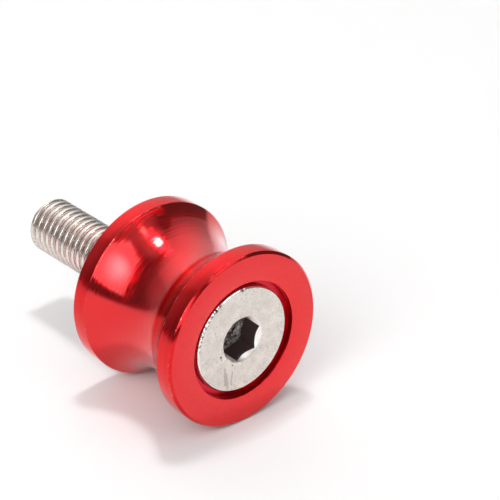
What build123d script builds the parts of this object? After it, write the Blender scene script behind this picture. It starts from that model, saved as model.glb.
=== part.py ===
from build123d import *
import math
import os

# Swingarm spool: a turned and anodised aluminium bobbin that a countersunk screw holds to a
# motorbike's swingarm, so that the hook or fork of a paddock stand can lift the bike by the groove.
# Millimetres. The spool's axis is Y. The origin is the centre of the seat face, the end that
# lies against the swingarm: the stud leaves it towards +Y and the screw head faces -Y.

# Body
rim_diameter = 32.0
body_length = 26.3
rim_width = 3.4
rim_chamfer = 0.45
waist_diameter = 24.0
bore_diameter = 11.0

# Screw head, a flat countersunk one
head_diameter = 19.2
head_land = 1.0
head_edge_bevel = 0.25
head_cone_half_angle = 45.0

# Hex socket
hex_across_flats = 7.0
hex_depth = 5.0
hex_turn = 14.8
hex_mouth_diameter = 8.4
hex_mouth_half_angle = 45.0

# Shank and stud. The thread is rolled, so the smooth shank inside the body keeps the thinner
# diameter of its blank. The thread is left as its outer cylinder, from just off the seat face.
shank_diameter = 9.0
thread_start_reach = 0.1
thread_diameter = 10.0
thread_root_diameter = 8.4
stud_reach = 27.9
stud_end_chamfer_length = 1.0

# Clearances between screw and body
head_sink = 0.4
recess_side_gap = 1.15
recess_floor_gap = 0.2
cone_seat_gap = 0.02

# Places and radii that follow from the sizes above
rim_radius = rim_diameter / 2
waist_radius = waist_diameter / 2
bore_radius = bore_diameter / 2
head_radius = head_diameter / 2
shank_radius = shank_diameter / 2
thread_radius = thread_diameter / 2
thread_root_radius = thread_root_diameter / 2
outer_face_y = -body_length
head_face_y = outer_face_y + head_sink
head_slope = math.tan(math.radians(head_cone_half_angle))


def head_cone_radius(y):
    """Radius of the screw head's cone at a place along the axis."""
    return head_radius - (y - head_face_y - head_land) * head_slope


def head_cone_place(radius):
    """Place along the axis where the screw head's cone has come down to a radius."""
    return head_face_y + head_land + (head_radius - radius) / head_slope


def spool_body():
    """One turned piece: two rims, the groove between them, the head's recess and the bore."""
    recess_radius = head_radius + recess_side_gap
    recess_floor_y = head_face_y + head_land + recess_floor_gap
    gap_across = cone_seat_gap / math.cos(math.radians(head_cone_half_angle))
    seat_mouth_radius = head_cone_radius(recess_floor_y) + gap_across
    seat_end_y = head_cone_place(bore_radius - gap_across)
    groove_seat_side = (rim_radius, -rim_width)
    groove_bottom = (waist_radius, outer_face_y / 2)
    groove_head_side = (rim_radius, outer_face_y + rim_width)

    with BuildPart() as body:
        with BuildSketch(Plane.XY):
            with BuildLine():
                Polyline(
                    (bore_radius, 0),
                    (rim_radius - rim_chamfer, 0),
                    (rim_radius, -rim_chamfer),
                    groove_seat_side,
                )
                ThreePointArc(groove_seat_side, groove_bottom, groove_head_side)
                Polyline(
                    groove_head_side,
                    (rim_radius, outer_face_y + rim_chamfer),
                    (rim_radius - rim_chamfer, outer_face_y),
                    (recess_radius, outer_face_y),
                    (recess_radius, recess_floor_y),
                    (seat_mouth_radius, recess_floor_y),
                    (bore_radius, seat_end_y),
                    (bore_radius, 0),
                )
            make_face()
        revolve(axis=Axis.Y)
    return body.part


def countersunk_screw():
    """The screw: countersunk head with a hex socket, smooth shank, and stud with its end chamfer."""
    hex_inradius = hex_across_flats / 2
    mouth_radius = hex_mouth_diameter / 2
    mouth_depth = mouth_radius / math.tan(math.radians(hex_mouth_half_angle))
    looking_in = Plane(origin=(0, head_face_y, 0), x_dir=(1, 0, 0), z_dir=(0, 1, 0))

    with BuildPart() as screw:
        with BuildSketch(Plane.XY):
            with BuildLine():
                Polyline(
                    (0, head_face_y),
                    (head_radius - head_edge_bevel, head_face_y),
                    (head_radius, head_face_y + head_edge_bevel),
                    (head_radius, head_face_y + head_land),
                    (shank_radius, head_cone_place(shank_radius)),
                    (shank_radius, thread_start_reach),
                    (thread_radius, thread_start_reach),
                    (thread_radius, stud_reach - stud_end_chamfer_length),
                    (thread_root_radius, stud_reach),
                    (0, stud_reach),
                    close=True,
                )
            make_face()
        revolve(axis=Axis.Y)

        # the punched hexagon, with a flat floor
        with BuildSketch(looking_in):
            RegularPolygon(hex_inradius, 6, major_radius=False, rotation=-hex_turn)
        extrude(amount=hex_depth, mode=Mode.SUBTRACT)

        # the conical mouth that rounds off the hexagon's top edge
        with BuildSketch(Plane.XY):
            with BuildLine():
                Polyline(
                    (0, head_face_y),
                    (mouth_radius, head_face_y),
                    (0, head_face_y + mouth_depth),
                    close=True,
                )
            make_face()
        revolve(axis=Axis.Y, mode=Mode.SUBTRACT)
    return screw.part


def write_parts():
    os.makedirs("parts", exist_ok=True)
    export_step(spool_body(), "parts/spool_body.step")
    export_step(countersunk_screw(), "parts/countersunk_screw.step")


write_parts()
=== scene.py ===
import math
import random
import bmesh
import bpy
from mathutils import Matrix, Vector


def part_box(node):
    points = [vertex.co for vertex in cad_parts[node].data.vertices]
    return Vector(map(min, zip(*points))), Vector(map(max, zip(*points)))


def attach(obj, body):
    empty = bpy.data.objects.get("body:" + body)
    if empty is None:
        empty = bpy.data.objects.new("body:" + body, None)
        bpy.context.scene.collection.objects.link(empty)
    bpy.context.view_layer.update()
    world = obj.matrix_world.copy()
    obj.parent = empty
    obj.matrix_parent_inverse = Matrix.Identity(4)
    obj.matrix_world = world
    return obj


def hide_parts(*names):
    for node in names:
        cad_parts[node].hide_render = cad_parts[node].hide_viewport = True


# Swingarm spool: a red anodised bobbin with its countersunk stainless screw, lying on a white table.
# The spool's axis is Y. The stud points to +Y and the screw's head faces -Y.

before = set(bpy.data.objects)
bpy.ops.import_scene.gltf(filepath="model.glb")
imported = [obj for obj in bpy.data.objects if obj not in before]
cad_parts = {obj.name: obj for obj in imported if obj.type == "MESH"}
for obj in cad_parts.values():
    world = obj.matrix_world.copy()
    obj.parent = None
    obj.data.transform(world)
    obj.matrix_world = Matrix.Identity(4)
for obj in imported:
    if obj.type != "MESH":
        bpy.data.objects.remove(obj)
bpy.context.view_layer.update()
mm = 0.001
mergeDistance = 0.0005 * mm

bodyLow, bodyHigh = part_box("spool_body")
screwLow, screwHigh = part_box("countersunk_screw")
rimRadius = bodyHigh.x
seatY = bodyHigh.y  # the end against the swingarm
outerY = bodyLow.y  # the end with the screw's head
headRadius = screwHigh.x
headY = screwLow.y
studEndY = screwHigh.y


# Outlines are lists of (radius, place along the axis, corner rounding). A rounding takes up at
# most the given share of the sides that meet in its corner

def roundedOutline(corners, closed=False, steps=3, share=0.45):
    points = []
    count = len(corners)
    for i, (r, y, rounding) in enumerate(corners):
        here = Vector((r, y))
        if rounding == 0 or (not closed and i in (0, count - 1)):
            points.append(here)
            continue
        back = Vector(corners[i - 1][:2]) - here
        ahead = Vector(corners[(i + 1) % count][:2]) - here
        opening = back.angle(ahead)
        reach = min(rounding / math.tan(opening / 2), share * back.length, share * ahead.length)
        radius = reach * math.tan(opening / 2)
        middle = (back.normalized() + ahead.normalized()).normalized()
        centre = here + middle * (radius / math.sin(opening / 2))
        start = here + back.normalized() * reach - centre
        turn = (math.pi - opening) * (1 if start.cross(ahead) > 0 else -1)
        for k in range(steps + 1):
            a = turn * k / steps
            points.append(centre + Vector((
                start.x * math.cos(a) - start.y * math.sin(a),
                start.x * math.sin(a) + start.y * math.cos(a),
            )))
    return points


def looseEdgeLoop(name, points):
    mesh = bpy.data.meshes.new(name)
    count = len(points)
    mesh.from_pydata([(p.x, p.y, 0) for p in points], [(i, (i + 1) % count) for i in range(count)], [])
    thing = bpy.data.objects.new(name, mesh)
    bpy.context.scene.collection.objects.link(thing)
    return thing


# Geometry Nodes helpers

def newTree(name, inputs):
    tree = bpy.data.node_groups.new(name, "GeometryNodeTree")
    for label, kind in inputs:
        tree.interface.new_socket(label, in_out="INPUT", socket_type=kind)
    tree.interface.new_socket("Geometry", in_out="OUTPUT", socket_type="NodeSocketGeometry")
    entry = tree.nodes.new("NodeGroupInput")
    leave = tree.nodes.new("NodeGroupOutput")
    return tree, entry, leave


def mathNode(tree, operation, a, b=None):
    node = tree.nodes.new("ShaderNodeMath")
    node.operation = operation
    for socket, value in zip(node.inputs, (a, b)):
        if isinstance(value, (int, float)):
            socket.default_value = value
        elif value is not None:
            tree.links.new(value, socket)
    return node.outputs[0]


# turns the shape from the Z axis to the spool's Y axis and ends the tree
def closeTree(tree, geometry, degrees, material, leave):
    upright = tree.nodes.new("GeometryNodeTransform")
    upright.inputs["Rotation"].default_value = (math.radians(degrees), 0, 0)
    real = tree.nodes.new("GeometryNodeRealizeInstances")
    finish = tree.nodes.new("GeometryNodeSetMaterial")
    tree.links.new(geometry, upright.inputs["Geometry"])
    tree.links.new(upright.outputs["Geometry"], real.inputs["Geometry"])
    tree.links.new(real.outputs["Geometry"], finish.inputs["Geometry"])
    tree.links.new(material, finish.inputs["Material"])
    tree.links.new(finish.outputs["Geometry"], leave.inputs["Geometry"])


def meshFromTree(name, tree, values):
    holder = bpy.data.objects.new(name + "Holder", bpy.data.meshes.new(name + "Holder"))
    bpy.context.scene.collection.objects.link(holder)
    modifier = holder.modifiers.new("nodes", "NODES")
    modifier.node_group = tree
    for item in tree.interface.items_tree:
        if item.in_out == "INPUT" and item.name in values:
            modifier[item.identifier] = values[item.name]
    depsgraph = bpy.context.evaluated_depsgraph_get()
    mesh = bpy.data.meshes.new_from_object(holder.evaluated_get(depsgraph))
    holder.modifiers.clear()
    bpy.data.objects.remove(holder)
    mesh.name = name
    return mesh


def finishPiece(name, mesh, node, sharpAngle=28):
    shape = bmesh.new()
    shape.from_mesh(mesh)
    bmesh.ops.remove_doubles(shape, verts=shape.verts, dist=mergeDistance)
    bmesh.ops.recalc_face_normals(shape, faces=shape.faces)
    shape.to_mesh(mesh)
    shape.free()
    mesh.shade_smooth()
    mesh.set_sharp_from_angle(angle=math.radians(sharpAngle))
    piece = bpy.data.objects.new(name, mesh)
    bpy.context.scene.collection.objects.link(piece)
    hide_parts(node)
    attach(piece, "root")
    print(name, len(mesh.polygons), "faces")


def giveFinish(polygon, mesh, finish):
    polygon.material_index = mesh.materials.find(finish.name)


# Materials

def newMaterial(name):
    material = bpy.data.materials.new(name)
    material.use_nodes = True
    return material, material.node_tree, material.node_tree.nodes["Principled BSDF"]


# noise on object coordinates: features per millimetre along each axis, detail and roughness
def finishNoise(tree, perMm, detail, roughness=0.5):
    place = tree.nodes.new("ShaderNodeTexCoord")
    mapping = tree.nodes.new("ShaderNodeMapping")
    mapping.inputs["Scale"].default_value = [n / mm for n in perMm]
    noise = tree.nodes.new("ShaderNodeTexNoise")
    noise.inputs["Scale"].default_value = 1
    noise.inputs["Detail"].default_value = detail
    noise.inputs["Roughness"].default_value = roughness
    tree.links.new(place.outputs["Object"], mapping.inputs["Vector"])
    tree.links.new(mapping.outputs[0], noise.inputs["Vector"])
    return noise.outputs["Fac"]


def mapped(tree, value, fromLow, fromHigh, toLow, toHigh, kind="LINEAR"):
    node = tree.nodes.new("ShaderNodeMapRange")
    node.interpolation_type = kind
    labels = ("From Min", "From Max", "To Min", "To Max")
    for label, number in zip(labels, (fromLow, fromHigh, toLow, toHigh)):
        node.inputs[label].default_value = number
    tree.links.new(value, node.inputs["Value"])
    return node.outputs[0]


# the middle of a noise's range, its span, spread over low to high
def spread(tree, noise, low, high, span=(0.3, 0.7)):
    return mapped(tree, noise, *span, low, high)


def addBump(tree, shader, height, distance, under=None):
    bump = tree.nodes.new("ShaderNodeBump")
    bump.inputs["Distance"].default_value = distance
    tree.links.new(height, bump.inputs["Height"])
    if under is not None:
        tree.links.new(under.outputs[0], bump.inputs["Normal"])
    tree.links.new(bump.outputs[0], shader.inputs["Normal"])
    return bump


# low is a colour or another node's colour output
def mixedColour(tree, amount, low, high):
    mix = tree.nodes.new("ShaderNodeMix")
    mix.data_type = "RGBA"
    if isinstance(low, bpy.types.NodeSocket):
        tree.links.new(low, mix.inputs["A"])
    else:
        mix.inputs["A"].default_value = low
    mix.inputs["B"].default_value = high
    tree.links.new(amount, mix.inputs["Factor"])
    return mix.outputs["Result"]


def aroundAxis(tree, shader):
    tangent = tree.nodes.new("ShaderNodeTangent")
    tangent.direction_type = "RADIAL"
    tangent.axis = "Y"
    tree.links.new(tangent.outputs[0], shader.inputs["Tangent"])


# 1 inside a narrow band round a place along the axis, 0 outside it
def bandAt(tree, along, place, halfWidth, core=0.4):
    off = mathNode(tree, "ABSOLUTE", mathNode(tree, "SUBTRACT", along, place))
    return mapped(tree, off, halfWidth * core, halfWidth, 1, 0)


anodising = {
    "red": (0.68, 0.002, 0.006, 1),
    "redThin": (0.72, 0.004, 0.008, 1),
    "redFace": (0.70, 0.003, 0.006, 1),
    "redFaceThin": (0.87, 0.005, 0.008, 1),
    # a little darker inside the recess: painted shade
    "redRecessShade": (0.60, 0.003, 0.022, 1),
    "redEdge": (1, 0.4, 0.42, 1),
    "dyeClouds": ((0.25, 0.25, 0.25), 3),
    # pale red along the rim edges: partly worn dye, partly painted highlight
    "redWornAndHighlight": (0.95, 0.42, 0.36, 1),
    "wornBand": 0.13 * mm,
    "wornSpots": ((0.9, 0.9, 0.9), 4, 0.7),
    "wornSpan": (0.56, 0.7),
    "wornEverywhere": 0.03,
    "grooveRoughness": (0.1, 0.18),
    "grooveStretch": 0.6,
    "alongTurning": 0.25,  # a quarter turn, so that the stretch follows the lathe's marks
    "smudges": ((0.5, 3.0, 0.5), 4),
    "turningNoise": ((0.06, 1.8, 0.06), 4, 0.65),
    "turningMarks": 0.06 * mm,
    "fineNoise": ((0.12, 4.5, 0.12), 2, 0.6),
    "fineMarks": 0.03 * mm,
    "faceRoughness": (0.27, 0.34),
    "faceNoise": ((5, 5, 5), 3, 0.7),
    "faceSpan": (0.35, 0.65),
    "faceGrain": 0.006 * mm,
    "faceCoatRoughness": 0.2,
    "grooveCoatIndex": 1.46,
    "rimCoatIndex": 1.3,
    "coatRoughness": 0.08,
    "recessNoise": ((0.1, 4, 0.1), 3),
    "recessRoughness": (0.2, 0.3),
    "recessCoat": 0.35,
    "recessCoatRoughness": 0.2,
}


# along the edges of the rims the red is painted pale in spots: partly dye worn thin, partly a painted
# hairline highlight
def wornEdgesAndHighlights(tree, a):
    place = tree.nodes.new("ShaderNodeTexCoord")
    split = tree.nodes.new("ShaderNodeSeparateXYZ")
    tree.links.new(place.outputs["Object"], split.inputs[0])
    edges = (
        seatY - body["rimWidth"], outerY + body["rimWidth"],
        seatY - body["rimChamfer"], outerY + body["rimChamfer"],
    )
    worn = None
    for edge in edges:
        band = bandAt(tree, split.outputs["Y"], edge, a["wornBand"])
        worn = band if worn is None else mathNode(tree, "MAXIMUM", worn, band)
    spots = spread(tree, finishNoise(tree, *a["wornSpots"]), a["wornEverywhere"], 1, a["wornSpan"])
    return mathNode(tree, "MULTIPLY", worn, spots)


def anodisedTurned(name, coatIndex, a):
    material, tree, shader = newMaterial(name)
    dyed = mixedColour(tree, finishNoise(tree, *a["dyeClouds"]), a["red"], a["redThin"])
    # pale spots along the rim edges: worn dye and painted hairline highlights
    worn = mixedColour(tree, wornEdgesAndHighlights(tree, a), dyed, a["redWornAndHighlight"])
    tree.links.new(worn, shader.inputs["Base Color"])
    shader.inputs["Metallic"].default_value = 1
    smudges = spread(tree, finishNoise(tree, *a["smudges"]), *a["grooveRoughness"])
    tree.links.new(smudges, shader.inputs["Roughness"])
    shader.inputs["Specular Tint"].default_value = a["redEdge"]
    shader.inputs["Anisotropic"].default_value = a["grooveStretch"]
    shader.inputs["Anisotropic Rotation"].default_value = a["alongTurning"]
    aroundAxis(tree, shader)
    shader.inputs["Coat Weight"].default_value = 1
    shader.inputs["Coat IOR"].default_value = coatIndex
    shader.inputs["Coat Roughness"].default_value = a["coatRoughness"]
    marks = addBump(tree, shader, finishNoise(tree, *a["turningNoise"]), a["turningMarks"])
    addBump(tree, shader, finishNoise(tree, *a["fineNoise"]), a["fineMarks"], marks)
    return material


def anodisedFaced(a):
    material, tree, shader = newMaterial("anodisedFaced")
    grain = finishNoise(tree, *a["faceNoise"])
    thin = spread(tree, grain, 0, 1, a["faceSpan"])
    dyed = mixedColour(tree, thin, a["redFace"], a["redFaceThin"])
    tree.links.new(dyed, shader.inputs["Base Color"])
    shader.inputs["Metallic"].default_value = 1
    shader.inputs["Specular Tint"].default_value = a["redEdge"]
    tree.links.new(spread(tree, grain, *a["faceRoughness"]), shader.inputs["Roughness"])
    shader.inputs["Coat Weight"].default_value = 1
    shader.inputs["Coat Roughness"].default_value = a["faceCoatRoughness"]
    addBump(tree, shader, grain, a["faceGrain"])
    return material


# inside the recess the red is painted a little darker as shade, and the finish is left as turned
def anodisedRecess(a):
    material, tree, shader = newMaterial("anodisedRecess")
    shader.inputs["Base Color"].default_value = a["redRecessShade"]
    shader.inputs["Metallic"].default_value = 1
    marks = finishNoise(tree, *a["recessNoise"])
    tree.links.new(spread(tree, marks, *a["recessRoughness"]), shader.inputs["Roughness"])
    shader.inputs["Coat Weight"].default_value = a["recessCoat"]
    shader.inputs["Coat IOR"].default_value = a["grooveCoatIndex"]
    shader.inputs["Coat Roughness"].default_value = a["recessCoatRoughness"]
    addBump(tree, shader, marks, a["fineMarks"])
    return material


steel = {
    "grey": (0.53, 0.49, 0.45, 1),
    "greyWorn": (0.88, 0.83, 0.77, 1),
    "markDark": (0.06, 0.05, 0.045, 1),
    "clouds": ((0.5, 0.5, 0.5), 4),
    "cloudShare": 0.4,
    "roughness": (0.22, 0.38),
    "grainNoise": ((4.5, 4.5, 4.5), 4, 0.7),
    "grainSpan": (0.35, 0.65),
    "grainShare": 0.6,
    "grain": 0.0025 * mm,
    # near-white: a painted highlight, on the head's bevel and the socket's mouth
    "paintedHighlight": (0.96, 0.94, 0.91, 1),
    "edgeRoughness": 0.17,
    "mouthNoise": ((2.5, 2.5, 2.5), 3),
    "mouthRoughness": 0.34,
    "nickShade": (0.09, 0.08, 0.07, 1),
    "nickNoise": ((2.4, 2.4, 2.4), 4, 0.7),
    "nickSpan": (0.36, 0.44),
    "nickDepth": 0.01 * mm,
}


def stainless(s):
    material, tree, shader = newMaterial("facedSteel")
    clouds = spread(tree, finishNoise(tree, *s["clouds"]), 0, s["cloudShare"])
    grain = finishNoise(tree, *s["grainNoise"])
    worn = mathNode(tree, "ADD", spread(tree, grain, 0, s["grainShare"], s["grainSpan"]), clouds)
    clean = mixedColour(tree, worn, s["grey"], s["greyWorn"])

    # the face is darker in the knocks and scratches; the mesh says where
    markDark = tree.nodes.new("ShaderNodeAttribute")
    markDark.attribute_name = "markDark"
    darkened = mixedColour(tree, markDark.outputs["Fac"], clean, s["markDark"])
    tree.links.new(darkened, shader.inputs["Base Color"])
    shader.inputs["Metallic"].default_value = 1
    tree.links.new(spread(tree, grain, *s["roughness"]), shader.inputs["Roughness"])
    addBump(tree, shader, grain, s["grain"])
    return material


# the head's bevelled edge is painted bright as a highlight, and nicked all round, with painted shade in
# the nicks
def edgeHighlightNicked(s):
    material, tree, shader = newMaterial("edgeHighlightNicked")
    nicks = spread(tree, finishNoise(tree, *s["nickNoise"]), 0, 1, s["nickSpan"])
    tree.links.new(mixedColour(tree, nicks, s["nickShade"], s["paintedHighlight"]), shader.inputs["Base Color"])
    shader.inputs["Metallic"].default_value = 1
    shader.inputs["Roughness"].default_value = s["edgeRoughness"]
    addBump(tree, shader, nicks, s["nickDepth"])
    return material


# the socket's mouth is painted bright as a highlight, brighter than the face
def mouthHighlight(s):
    material, tree, shader = newMaterial("mouthHighlight")
    shader.inputs["Base Color"].default_value = s["paintedHighlight"]
    shader.inputs["Metallic"].default_value = 1
    shader.inputs["Roughness"].default_value = s["mouthRoughness"]
    addBump(tree, shader, finishNoise(tree, *s["mouthNoise"]), s["grain"])
    return material


# distance from the spool's axis, in millimetres
def axisDistance(tree):
    place = tree.nodes.new("ShaderNodeTexCoord")
    flat = tree.nodes.new("ShaderNodeVectorMath")
    flat.operation = "MULTIPLY"
    flat.inputs[1].default_value = (1 / mm, 0, 1 / mm)
    tree.links.new(place.outputs["Object"], flat.inputs[0])
    length = tree.nodes.new("ShaderNodeVectorMath")
    length.operation = "LENGTH"
    tree.links.new(flat.outputs[0], length.inputs[0])
    return length.outputs["Value"]


threadSteel = {
    "valleyShadeAndReflection": (0.22, 0.1, 0.092, 1),
    "crestLit": (0.8, 0.755, 0.705, 1),
    "valleyRadius": 4.2,  # this and the next in millimetres, as axisDistance gives them
    "crestRadius": 4.68,
    "stains": ((1.2, 1.2, 1.2), 4),
    "stainShift": 0.12,
    "roughness": (0.19, 0.3),
    "grainNoise": ((3, 3, 3), 3),
    "grain": 0.003 * mm,
}


# painted light: the thread is lighter on its crests and darker and reddish in its valleys, painted shade
# and a painted red reflection of the spool
def rolledThread(s):
    material, tree, shader = newMaterial("rolledThread")
    stains = finishNoise(tree, *s["stains"])
    height = mapped(tree, axisDistance(tree), s["valleyRadius"], s["crestRadius"], 0, 1)
    shift = spread(tree, stains, -s["stainShift"], s["stainShift"])
    # share of the painted crest light against the painted valley shade and reflection
    litShare = mapped(tree, mathNode(tree, "ADD", height, shift), 0, 1, 0, 1)
    tree.links.new(mixedColour(tree, litShare, s["valleyShadeAndReflection"], s["crestLit"]), shader.inputs["Base Color"])
    shader.inputs["Metallic"].default_value = 1
    tree.links.new(spread(tree, stains, *s["roughness"]), shader.inputs["Roughness"])
    addBump(tree, shader, finishNoise(tree, *s["grainNoise"]), s["grain"])
    return material


socketSteel = {
    # dark socket colours: painted shade in the deep hole
    "wall": (0.19, 0.13, 0.125, 1),
    "wallNoise": ((1.5, 0.4, 1.5), 3),
    "wallMarks": 0.02 * mm,
    "roughness": 0.5,
    "bottomShade": (0.10, 0.075, 0.07, 1),
    "chips": (0.98, 0.95, 0.92, 1),
    "tornNoise": ((1.3, 1.3, 1.3), 3, 0.6),
    "tornSpan": (0.36, 0.56),
    "speckNoise": ((5, 5, 5), 2, 0.5),
    "speckSpan": (0.4, 0.52),
    "betweenSpecks": 0.15,
    "pits": 0.08 * mm,
}


# the socket's wall is painted dark as shade
def socketWall(s):
    material, tree, shader = newMaterial("socketWall")
    shader.inputs["Base Color"].default_value = s["wall"]
    shader.inputs["Metallic"].default_value = 1
    shader.inputs["Roughness"].default_value = s["roughness"]
    addBump(tree, shader, finishNoise(tree, *s["wallNoise"]), s["wallMarks"])
    return material


# the socket's bottom is painted dark as shade; the punch leaves it rough, with torn bright chips
def socketBottom(s):
    material, tree, shader = newMaterial("socketBottom")
    torn = finishNoise(tree, *s["tornNoise"])
    specks = spread(tree, finishNoise(tree, *s["speckNoise"]), s["betweenSpecks"], 1, s["speckSpan"])
    chips = mathNode(tree, "MULTIPLY", spread(tree, torn, 0, 1, s["tornSpan"]), specks)
    tree.links.new(mixedColour(tree, chips, s["bottomShade"], s["chips"]), shader.inputs["Base Color"])
    shader.inputs["Metallic"].default_value = 1
    shader.inputs["Roughness"].default_value = s["roughness"]
    addBump(tree, shader, torn, s["pits"])
    return material


# Spool body: the outline is swept once round the axis

body = {
    "rimWidth": 3.4 * mm,
    "rimChamfer": 0.45 * mm,
    "chamferRounding": 0.05 * mm,
    "waistRadius": 12.0 * mm,
    "grooveSteps": 240,
    "grooveMarks": 0.005 * mm,
    "stepsPerMark": 2,
    "grooveEdgeRounding": 0.1 * mm,
    "boreRadius": 5.5 * mm,
    "recessRadius": 10.75 * mm,
    "recessDepth": 1.6 * mm,
    "recessRounding": 0.08 * mm,
    "seatMouthRadius": 9.43 * mm,
    "seatEndY": outerY + 5.87 * mm,
    "columns": 256,
    "pathRadius": 10 * mm,
    # which faces count as flat and which as inside the recess: the share of the normal that
    # lies along the axis, and the depth under the outer face
    "flatNormal": 0.98,
    "recessFrom": 0.1 * mm,
}


def bodyOutline(b):
    middleY = (seatY + outerY) / 2
    halfWidth = (seatY - outerY) / 2 - b["rimWidth"]
    depth = rimRadius - b["waistRadius"]
    grooveRadius = (halfWidth**2 + depth**2) / (2 * depth)
    chamfer = b["rimChamfer"]
    small = b["chamferRounding"]
    edge = b["grooveEdgeRounding"]
    recessFloorY = outerY + b["recessDepth"]
    corners = [
        (b["boreRadius"], seatY, small),
        (rimRadius - chamfer, seatY, small),
        (rimRadius, seatY - chamfer, small),
        (rimRadius, seatY - b["rimWidth"], edge),
    ]

    # the lathe tool leaves fine rings in the groove
    halfAngle = math.asin(halfWidth / grooveRadius)
    draw = random.Random(5)
    markCount = b["grooveSteps"] // b["stepsPerMark"] + 2
    marks = [draw.uniform(-1, 1) * b["grooveMarks"] for i in range(markCount)]
    for i in range(1, b["grooveSteps"]):
        angle = halfAngle * (1 - 2 * i / b["grooveSteps"])
        step, share = divmod(i / b["stepsPerMark"], 1)
        mark = marks[int(step)] * (1 - share) + marks[int(step) + 1] * share
        corners.append((
            b["waistRadius"] + grooveRadius * (1 - math.cos(angle)) + mark,
            middleY + grooveRadius * math.sin(angle),
            0,
        ))
    corners += [
        (rimRadius, outerY + b["rimWidth"], edge),
        (rimRadius, outerY + chamfer, small),
        (rimRadius - chamfer, outerY, small),
        (b["recessRadius"], outerY, b["recessRounding"]),
        (b["recessRadius"], recessFloorY, b["recessRounding"]),
        (b["seatMouthRadius"], recessFloorY, small),
        (b["boreRadius"], b["seatEndY"], small),
    ]
    return roundedOutline(corners, closed=True)


def turningTree():
    tree, entry, leave = newTree("turnRoundAxis", [
        ("Outline", "NodeSocketObject"),
        ("Path Radius", "NodeSocketFloat"),
        ("Columns", "NodeSocketInt"),
        ("Finish", "NodeSocketMaterial"),
    ])
    nodes, link = tree.nodes, tree.links.new
    outline = nodes.new("GeometryNodeObjectInfo")
    link(entry.outputs["Outline"], outline.inputs["Object"])
    outlineCurve = nodes.new("GeometryNodeMeshToCurve")
    link(outline.outputs["Geometry"], outlineCurve.inputs["Mesh"])

    # the outline is moved in by the path's radius, because the path carries it out again
    inward = nodes.new("ShaderNodeCombineXYZ")
    link(mathNode(tree, "MULTIPLY", entry.outputs["Path Radius"], -1), inward.inputs["X"])
    centred = nodes.new("GeometryNodeTransform")
    link(outlineCurve.outputs["Curve"], centred.inputs["Geometry"])
    link(inward.outputs[0], centred.inputs["Translation"])
    path = nodes.new("GeometryNodeCurvePrimitiveCircle")
    link(entry.outputs["Columns"], path.inputs["Resolution"])
    link(entry.outputs["Path Radius"], path.inputs["Radius"])
    sweep = nodes.new("GeometryNodeCurveToMesh")
    link(path.outputs["Curve"], sweep.inputs["Curve"])
    link(centred.outputs["Geometry"], sweep.inputs["Profile Curve"])

    closeTree(tree, sweep.outputs["Mesh"], 90, entry.outputs["Finish"], leave)
    return tree


grooveFinish = anodisedTurned("anodisedGroove", anodising["grooveCoatIndex"], anodising)
rimFinish = anodisedTurned("anodisedRim", anodising["rimCoatIndex"], anodising)
faceFinish = anodisedFaced(anodising)
recessFinish = anodisedRecess(anodising)
outlineThing = looseEdgeLoop("bodyOutline", bodyOutline(body))
bodyMesh = meshFromTree("spoolBodyTurned", turningTree(), {
    "Outline": outlineThing,
    "Path Radius": body["pathRadius"],
    "Columns": body["columns"],
    "Finish": grooveFinish,
})
bpy.data.objects.remove(outlineThing)
for finish in (faceFinish, recessFinish, rimFinish):
    bodyMesh.materials.append(finish)
finishPiece("spoolBodyTurned", bodyMesh, "spool_body")
for polygon in bodyMesh.polygons:
    middle = polygon.center
    if abs(polygon.normal.y) > body["flatNormal"]:
        giveFinish(polygon, bodyMesh, faceFinish)
    elif middle.y > seatY - body["rimWidth"] or middle.y < outerY + body["rimWidth"]:
        giveFinish(polygon, bodyMesh, rimFinish)
    if math.hypot(middle.x, middle.z) < body["recessRadius"] and middle.y > outerY + body["recessFrom"]:
        giveFinish(polygon, bodyMesh, recessFinish)


# Screw head, socket and shank: rings round the axis, from the socket's bottom outwards

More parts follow.
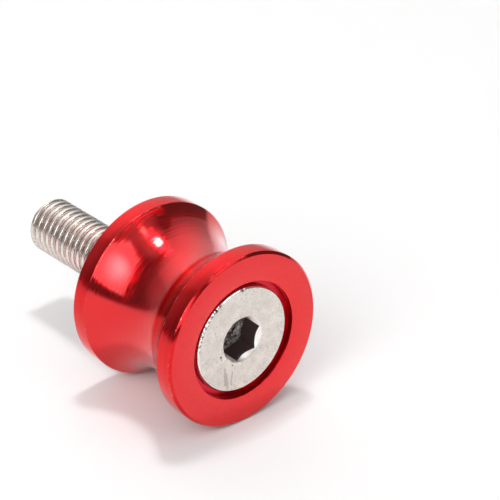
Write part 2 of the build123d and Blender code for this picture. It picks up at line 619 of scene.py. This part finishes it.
head = {
    "columns": 360,
    "faceSteps": 56,
    "socketTurn": math.radians(14.8),
    "acrossFlats": 7.0 * mm,
    "socketDepth": 5.0 * mm,
    "roughFrom": 4.1 * mm,
    "mouthRadius": 4.2 * mm,
    "edgeBevel": 0.22 * mm,
    "bevelRounding": 0.05 * mm,
    "land": 1.0 * mm,
    "shankRadius": 4.5 * mm,
    "shankEnd": -0.4 * mm,
    # the mesh's rings: shares of the way out over the bottom, up the wall and out over the mouth
    "bottomRings": (0.15, 0.5, 0.8, 0.98),
    "wallRings": (0.0, 0.03, 0.2, 0.6, 0.9, 1.0),
    "mouthRings": (0.5, 0.93),
    # the face's first ring is this far off the mouth, and its last this far off the bevel
    "mouthGap": 0.02 * mm,
    "bevelGap": 0.05 * mm,
    # which faces count as the socket's, by depth, and which as leaning, by the share of the
    # normal that lies along the axis
    "socketFrom": 0.01 * mm,
    "leaningNormals": (0.3, 0.95),
    # knocks on the face and its edge: radius, angle in degrees, half width and depth
    "knocks": (
        (9.35 * mm, 89.2, 0.3 * mm, 0.12 * mm),
        (9.4 * mm, 120.5, 0.25 * mm, 0.08 * mm),
        (9.4 * mm, 126.0, 0.4 * mm, 0.15 * mm),
        (9.45 * mm, 133.4, 0.3 * mm, 0.12 * mm),
        (9.4 * mm, 139.0, 0.22 * mm, 0.08 * mm),
        (9.42 * mm, 147.0, 0.3 * mm, 0.08 * mm),
        (9.42 * mm, 152.5, 0.24 * mm, 0.08 * mm),
        (9.42 * mm, 156.6, 0.28 * mm, 0.1 * mm),
        (9.42 * mm, 161.4, 0.22 * mm, 0.07 * mm),
        (9.42 * mm, 166.0, 0.28 * mm, 0.1 * mm),
        (9.42 * mm, 173.0, 0.24 * mm, 0.07 * mm),
        (5.0 * mm, -160, 0.26 * mm, 0.1 * mm),
        (5.05 * mm, -154, 0.16 * mm, 0.05 * mm),
        (4.75 * mm, -118, 0.18 * mm, 0.03 * mm),
    ),
    # scratches: radius and angle of both ends, half width and depth
    "scratches": (
        ((5.8 * mm, -132), (8.4 * mm, -117), 0.34 * mm, 0.012 * mm),
        ((6.0 * mm, -112), (8.3 * mm, -108), 0.22 * mm, 0.01 * mm),
        ((6.4 * mm, -124), (8.9 * mm, -112), 0.26 * mm, 0.008 * mm),
    ),
    "knockDark": 1.0,
    "scratchDark": 0.46,
}


# how far out the socket's flats lie in one direction
def hexRadius(angle, h):
    sixth = math.radians(60)
    fromCorner = (angle - h["socketTurn"]) % sixth
    return h["acrossFlats"] / 2 / math.cos(fromCorner - sixth / 2)


# each ring gives its radius and place along the axis for an angle round it
def screwRings(h):
    rings = []
    floorY = headY + h["socketDepth"]
    inradius = h["acrossFlats"] / 2
    for share in h["bottomRings"]:
        rings.append(lambda a, s=share: (inradius * s, floorY))

    def wall(a, up):
        r = hexRadius(a, h)
        topY = headY + h["mouthRadius"] - r
        return r, floorY + (topY - floorY) * up

    for up in h["wallRings"]:
        rings.append(lambda a, u=up: wall(a, u))
    for share in h["mouthRings"]:
        rings.append(lambda a, s=share: (
            hexRadius(a, h) + (h["mouthRadius"] - hexRadius(a, h)) * s,
            headY + (h["mouthRadius"] - hexRadius(a, h)) * (1 - s),
        ))
    faceSteps = h["faceSteps"]
    faceInner = h["mouthRadius"] + h["mouthGap"]
    faceOuter = headRadius - h["edgeBevel"] - h["bevelGap"]
    for i in range(faceSteps + 1):
        r = faceInner + (faceOuter - faceInner) * i / faceSteps
        rings.append(lambda a, r=r: (r, headY))
    coneEndY = headY + h["land"] + headRadius - h["shankRadius"]
    outside = roundedOutline([
        (faceOuter, headY, 0),
        (headRadius - h["edgeBevel"], headY, h["bevelRounding"]),
        (headRadius, headY + h["edgeBevel"], h["bevelRounding"]),
        (headRadius, headY + h["land"], h["bevelRounding"]),
        (h["shankRadius"], coneEndY, h["bevelRounding"]),
        (h["shankRadius"], h["shankEnd"], 0),
    ])
    for p in outside[1:]:
        rings.append(lambda a, p=p: (p.x, p.y))
    return rings


def onFace(radius, degrees):
    a = math.radians(degrees)
    return Vector((math.cos(a), math.sin(a))) * radius


# how deep the knocks and scratches press the face in at a point of it, and how much darker it is there
def wearAt(x, z, h):
    here = Vector((x, z))
    depth = 0
    markDark = 0
    for radius, degrees, halfWidth, knock in h["knocks"]:
        off = (here - onFace(radius, degrees)).length / halfWidth
        if off < 1:
            depth = max(depth, knock * (1 - off * off))
            markDark = max(markDark, h["knockDark"] * min(1, 2 - 2 * off))
    for start, end, halfWidth, scratch in h["scratches"]:
        away = here - onFace(*start)
        run = onFace(*end) - onFace(*start)
        share = min(1, max(0, away.dot(run) / run.length_squared))
        off = (away - run * share).length / halfWidth
        if off < 1:
            depth = max(depth, scratch * (1 - off))
            markDark = max(markDark, h["scratchDark"] * (1 - off))
    return depth, markDark


def screwHeadMesh(h):
    shape = bmesh.new()
    count = h["columns"]
    angles = [h["socketTurn"] + math.tau * i / count for i in range(count)]
    markDarkLayer = shape.verts.layers.float.new("markDark")
    loops = []
    for ring in screwRings(h):
        loop = []
        for a in angles:
            r, y = ring(a)
            x, z = r * math.cos(a), r * math.sin(a)
            depth, markDark = 0, 0
            if y < headY + h["edgeBevel"] and r > h["mouthRadius"]:
                depth, markDark = wearAt(x, z, h)
            vertex = shape.verts.new((x, y + depth, z))
            vertex[markDarkLayer] = markDark
            loop.append(vertex)
        loops.append(loop)
    middle = shape.verts.new((0, headY + h["socketDepth"], 0))
    for i in range(count):
        shape.faces.new((middle, loops[0][i - 1], loops[0][i]))
    for inner, outer in zip(loops, loops[1:]):
        for i in range(count):
            shape.faces.new((inner[i - 1], outer[i - 1], outer[i], inner[i]))
    shape.faces.new(loops[-1])
    mesh = bpy.data.meshes.new("screwHead")
    shape.to_mesh(mesh)
    shape.free()
    return mesh


steelFinish = stainless(steel)
edgeHighlightFinish = edgeHighlightNicked(steel)
mouthHighlightFinish = mouthHighlight(steel)
wallFinish = socketWall(socketSteel)
bottomFinish = socketBottom(socketSteel)
headMesh = screwHeadMesh(head)
for finish in (steelFinish, edgeHighlightFinish, wallFinish, bottomFinish, mouthHighlightFinish):
    headMesh.materials.append(finish)
finishPiece("countersunkScrewHead", headMesh, "countersunk_screw")
leastLeaning, mostLeaning = head["leaningNormals"]
for polygon in headMesh.polygons:
    middle = polygon.center
    radius = math.hypot(middle.x, middle.z)
    depth = middle.y - headY
    leaning = leastLeaning < abs(polygon.normal.y) < mostLeaning
    if radius > headRadius - head["edgeBevel"] and depth < head["edgeBevel"] and leaning:
        giveFinish(polygon, headMesh, edgeHighlightFinish)
    if radius < head["mouthRadius"] and depth > head["socketFrom"]:
        if depth > head["roughFrom"]:
            giveFinish(polygon, headMesh, bottomFinish)
        elif leaning:
            giveFinish(polygon, headMesh, mouthHighlightFinish)
        else:
            giveFinish(polygon, headMesh, wallFinish)


# Stud: a tube whose section is turned along the axis, once round for each pitch of the thread

stud = {
    "crestRadius": 5.0 * mm,
    "rootRadius": 4.08 * mm,
    "pitch": 1.5 * mm,
    "startY": -1.2 * mm,
    "columns": 64,
    "ringsPerTurn": 44,
    # where the flank starts and ends, in turns from the valley's middle
    "flankStart": -0.02,
    "flankEnd": 0.34,
    "endRadius": 4.2 * mm,
    "endChamferLength": 1.0 * mm,
    "bareEnd": 0.35 * mm,
}


def threadTree():
    tree, entry, leave = newTree("rolledThread", [
        ("Length", "NodeSocketFloat"),
        ("Pitch", "NodeSocketFloat"),
        ("Crest Radius", "NodeSocketFloat"),
        ("Root Radius", "NodeSocketFloat"),
        ("Flank Start", "NodeSocketFloat"),
        ("Flank End", "NodeSocketFloat"),
        ("End Radius", "NodeSocketFloat"),
        ("End Chamfer Length", "NodeSocketFloat"),
        ("Columns", "NodeSocketInt"),
        ("Rings Per Turn", "NodeSocketFloat"),
        ("Finish", "NodeSocketMaterial"),
    ])
    nodes, link = tree.nodes, tree.links.new
    sizes = entry.outputs
    turns = mathNode(tree, "DIVIDE", sizes["Length"], sizes["Pitch"])
    segments = mathNode(tree, "CEIL", mathNode(tree, "MULTIPLY", turns, sizes["Rings Per Turn"]))
    tube = nodes.new("GeometryNodeMeshCylinder")
    tube.fill_type = "NGON"
    link(sizes["Columns"], tube.inputs["Vertices"])
    link(segments, tube.inputs["Side Segments"])
    link(sizes["Crest Radius"], tube.inputs["Radius"])
    link(sizes["Length"], tube.inputs["Depth"])

    place = nodes.new("GeometryNodeInputPosition")
    split = nodes.new("ShaderNodeSeparateXYZ")
    link(place.outputs[0], split.inputs[0])
    along = mathNode(tree, "ADD", split.outputs["Z"], mathNode(tree, "MULTIPLY", sizes["Length"], 0.5))
    columnAngle = mathNode(tree, "ARCTAN2", split.outputs["Y"], split.outputs["X"])

    # the section's height is a smoothed triangle wave of the column's angle
    share = mathNode(tree, "DIVIDE", columnAngle, math.tau)
    wave = mathNode(tree, "PINGPONG", mathNode(tree, "ADD", share, 0.5), 0.5)
    height = nodes.new("ShaderNodeMapRange")
    height.interpolation_type = "SMOOTHSTEP"
    link(wave, height.inputs["Value"])
    link(sizes["Flank Start"], height.inputs["From Min"])
    link(sizes["Flank End"], height.inputs["From Max"])
    link(sizes["Root Radius"], height.inputs["To Min"])
    link(sizes["Crest Radius"], height.inputs["To Max"])

    # the thread rises out of the shank over its first turn, and the end's chamfer cuts it
    rise = nodes.new("ShaderNodeMapRange")
    rise.interpolation_type = "SMOOTHSTEP"
    link(along, rise.inputs["Value"])
    link(sizes["Pitch"], rise.inputs["From Max"])
    link(sizes["Root Radius"], rise.inputs["To Min"])
    link(sizes["Crest Radius"], rise.inputs["To Max"])
    fromEnd = mathNode(tree, "SUBTRACT", sizes["Length"], along)
    slope = mathNode(
        tree, "DIVIDE",
        mathNode(tree, "SUBTRACT", sizes["Crest Radius"], sizes["End Radius"]),
        sizes["End Chamfer Length"],
    )
    chamfer = mathNode(tree, "ADD", sizes["End Radius"], mathNode(tree, "MULTIPLY", fromEnd, slope))
    ends = mathNode(tree, "MINIMUM", rise.outputs[0], chamfer)
    radius = mathNode(tree, "MINIMUM", height.outputs[0], ends)

    turned = mathNode(
        tree, "ADD", columnAngle,
        mathNode(tree, "MULTIPLY", mathNode(tree, "DIVIDE", along, sizes["Pitch"]), math.tau),
    )
    newPlace = nodes.new("ShaderNodeCombineXYZ")
    link(mathNode(tree, "MULTIPLY", radius, mathNode(tree, "COSINE", turned)), newPlace.inputs["X"])
    link(mathNode(tree, "MULTIPLY", radius, mathNode(tree, "SINE", turned)), newPlace.inputs["Y"])
    link(along, newPlace.inputs["Z"])
    shaped = nodes.new("GeometryNodeSetPosition")
    link(tube.outputs["Mesh"], shaped.inputs["Geometry"])
    link(newPlace.outputs[0], shaped.inputs["Position"])

    closeTree(tree, shaped.outputs["Geometry"], -90, sizes["Finish"], leave)
    return tree


threadFinish = rolledThread(threadSteel)
studMesh = meshFromTree("threadedStud", threadTree(), {
    "Length": studEndY - stud["startY"],
    "Pitch": stud["pitch"],
    "Crest Radius": stud["crestRadius"],
    "Root Radius": stud["rootRadius"],
    "Flank Start": stud["flankStart"],
    "Flank End": stud["flankEnd"],
    "End Radius": stud["endRadius"],
    "End Chamfer Length": stud["endChamferLength"],
    "Columns": stud["columns"],
    "Rings Per Turn": float(stud["ringsPerTurn"]),
    "Finish": threadFinish,
})
for vertex in studMesh.vertices:
    vertex.co.y += stud["startY"]
studMesh.materials.append(steelFinish)
finishPiece("threadedStud", studMesh, "countersunk_screw")
for polygon in studMesh.polygons:
    if polygon.center.y > studEndY - stud["bareEnd"]:
        giveFinish(polygon, studMesh, steelFinish)  # the sawn end


# Table and studio

table = {
    "size": 4.0,
    "colour": (0.78, 0.78, 0.78, 1),
    "roughness": 0.7,
    "gloss": 0.2,
}


def makeTable(t):
    half = t["size"] / 2
    mesh = bpy.data.meshes.new("table")
    corners = [(-half, -half), (half, -half), (half, half), (-half, half)]
    mesh.from_pydata([(x, y, -rimRadius) for x, y in corners], [], [(0, 1, 2, 3)])
    thing = bpy.data.objects.new("table", mesh)
    bpy.context.scene.collection.objects.link(thing)
    material, tree, shader = newMaterial("whiteTable")
    shader.inputs["Base Color"].default_value = t["colour"]
    shader.inputs["Roughness"].default_value = t["roughness"]
    shader.inputs["Specular IOR Level"].default_value = t["gloss"]
    mesh.materials.append(material)


makeTable(table)

# Directions are azimuth and elevation in degrees: azimuth 0 is on the head's side, +90 at +X

def direction(azimuth, elevation):
    a, e = math.radians(azimuth), math.radians(elevation)
    return Vector((math.sin(a) * math.cos(e), -math.cos(a) * math.cos(e), math.sin(e)))


# Each lamp stands at azimuth, elevation and distance, and faces the spool as if from the elevation
# tilt. Brightness 1 is as bright as lit white paper. It falls off between core and reach, in metres
# from the hot spot, to the share edge.
softboxes = {
    "leftSoftbox": {
        "azimuth": -62, "elevation": 51, "tilt": 0, "distance": 0.96, "size": (0.8, 1.25),
        "brightness": 7.8, "edge": 0.24, "hotSpot": (0.4, 0.3), "core": 0.0, "reach": 0.38,
    },
    "backSweep": {
        "azimuth": 146, "elevation": 35, "tilt": 30, "distance": 0.9, "size": (1.8, 1.25),
        "brightness": 1.0, "edge": 0.3, "hotSpot": (0.5, 0.62), "core": 0.1, "reach": 0.95,
    },
    "overheadLamp": {
        "azimuth": 130, "elevation": 81, "tilt": 81, "distance": 0.8, "size": (0.5, 0.5),
        "brightness": 50, "edge": 0.004, "hotSpot": (0.5, 0.5), "core": 0.035, "reach": 0.1,
    },
    "overheadStrip": {
        "azimuth": 14, "elevation": 71, "tilt": 70, "distance": 0.8, "size": (0.07, 0.18),
        "brightness": 3.5, "edge": 1, "hotSpot": (0.5, 0.5), "core": 0, "reach": 1,
    },
    "frontPanel": {
        "azimuth": 24, "elevation": 46, "tilt": 46, "distance": 1.0, "size": (0.8, 0.1),
        "brightness": 2.5, "edge": 1, "hotSpot": (0.5, 0.5), "core": 0, "reach": 1,
    },
}


# a softbox is brightest near its tube and falls off towards its edges
def shadeSoftbox(lamp, box):
    lamp.use_nodes = True
    tree = lamp.node_tree
    place = tree.nodes.new("ShaderNodeNewGeometry")
    fromTube = tree.nodes.new("ShaderNodeVectorMath")
    fromTube.operation = "SUBTRACT"
    fromTube.inputs[1].default_value = (*box["hotSpot"], 0)
    tree.links.new(place.outputs["Parametric"], fromTube.inputs[0])
    scaled = tree.nodes.new("ShaderNodeVectorMath")
    scaled.operation = "MULTIPLY"
    scaled.inputs[1].default_value = (*box["size"], 0)
    tree.links.new(fromTube.outputs[0], scaled.inputs[0])
    metres = tree.nodes.new("ShaderNodeVectorMath")
    metres.operation = "LENGTH"
    tree.links.new(scaled.outputs[0], metres.inputs[0])
    fall = mapped(tree, metres.outputs["Value"], box["core"], box["reach"], 1, box["edge"], "SMOOTHSTEP")
    tree.links.new(fall, tree.nodes["Emission"].inputs["Strength"])


def addSoftbox(name, box):
    lamp = bpy.data.lights.new(name, "AREA")
    lamp.shape = "RECTANGLE"
    lamp.size, lamp.size_y = box["size"]
    lamp.energy = math.pi * lamp.size * lamp.size_y * box["brightness"]
    shadeSoftbox(lamp, box)
    thing = bpy.data.objects.new(name, lamp)
    bpy.context.scene.collection.objects.link(thing)
    thing.location = direction(box["azimuth"], box["elevation"]) * box["distance"]
    facing = -direction(box["azimuth"], box["tilt"])
    thing.rotation_euler = facing.to_track_quat("-Z", "Y").to_euler()


for name, box in softboxes.items():
    addSoftbox(name, box)

studio = {
    "walls": 0.165,
    "colour": (1, 0.98, 0.985, 1),
    # full inside the inner angle round its direction, and gone at the outer one
    "glows": (
        {"azimuth": 0, "elevation": 90, "inner": 5, "outer": 28, "brightness": 0.4},
        {"azimuth": 10, "elevation": 60, "inner": 5, "outer": 28, "brightness": 0.4},
        {"azimuth": -172, "elevation": 22, "inner": 10, "outer": 45, "brightness": 0.35},
    ),
}


def makeStudio(s):
    world = bpy.data.worlds.new("studio")
    bpy.context.scene.world = world
    world.use_nodes = True
    tree = world.node_tree
    looking = tree.nodes.new("ShaderNodeTexCoord")
    level = s["walls"]
    for glow in s["glows"]:
        facing = tree.nodes.new("ShaderNodeVectorMath")
        facing.operation = "DOT_PRODUCT"
        facing.inputs[1].default_value = direction(glow["azimuth"], glow["elevation"])
        tree.links.new(looking.outputs["Generated"], facing.inputs[0])
        fall = mapped(
            tree, facing.outputs["Value"],
            math.cos(math.radians(glow["outer"])), math.cos(math.radians(glow["inner"])),
            0, glow["brightness"], "SMOOTHSTEP",
        )
        level = mathNode(tree, "ADD", level, fall)
    tree.links.new(level, tree.nodes["Background"].inputs["Strength"])
    tree.nodes["Background"].inputs["Color"].default_value = s["colour"]


makeStudio(studio)
print("table, softboxes and studio")

view = {
    "place": (-0.23208, -0.29736, 0.21698),
    "azimuth": math.radians(-40.73),
    "elevation": math.radians(29.23),
    "lens": 180,
    "sensor": 36,
    "clipStart": 0.01,
}


def makeCamera(v):
    data = bpy.data.cameras.new("productCamera")
    data.lens = v["lens"]
    data.sensor_width = v["sensor"]
    data.clip_start = v["clipStart"]
    camera = bpy.data.objects.new("productCamera", data)
    bpy.context.scene.collection.objects.link(camera)
    camera.location = v["place"]
    camera.rotation_euler = (math.radians(90) - v["elevation"], 0, v["azimuth"])
    bpy.context.scene.camera = camera


makeCamera(view)
print("camera")
bpy.context.scene.view_settings.view_transform = "Standard"
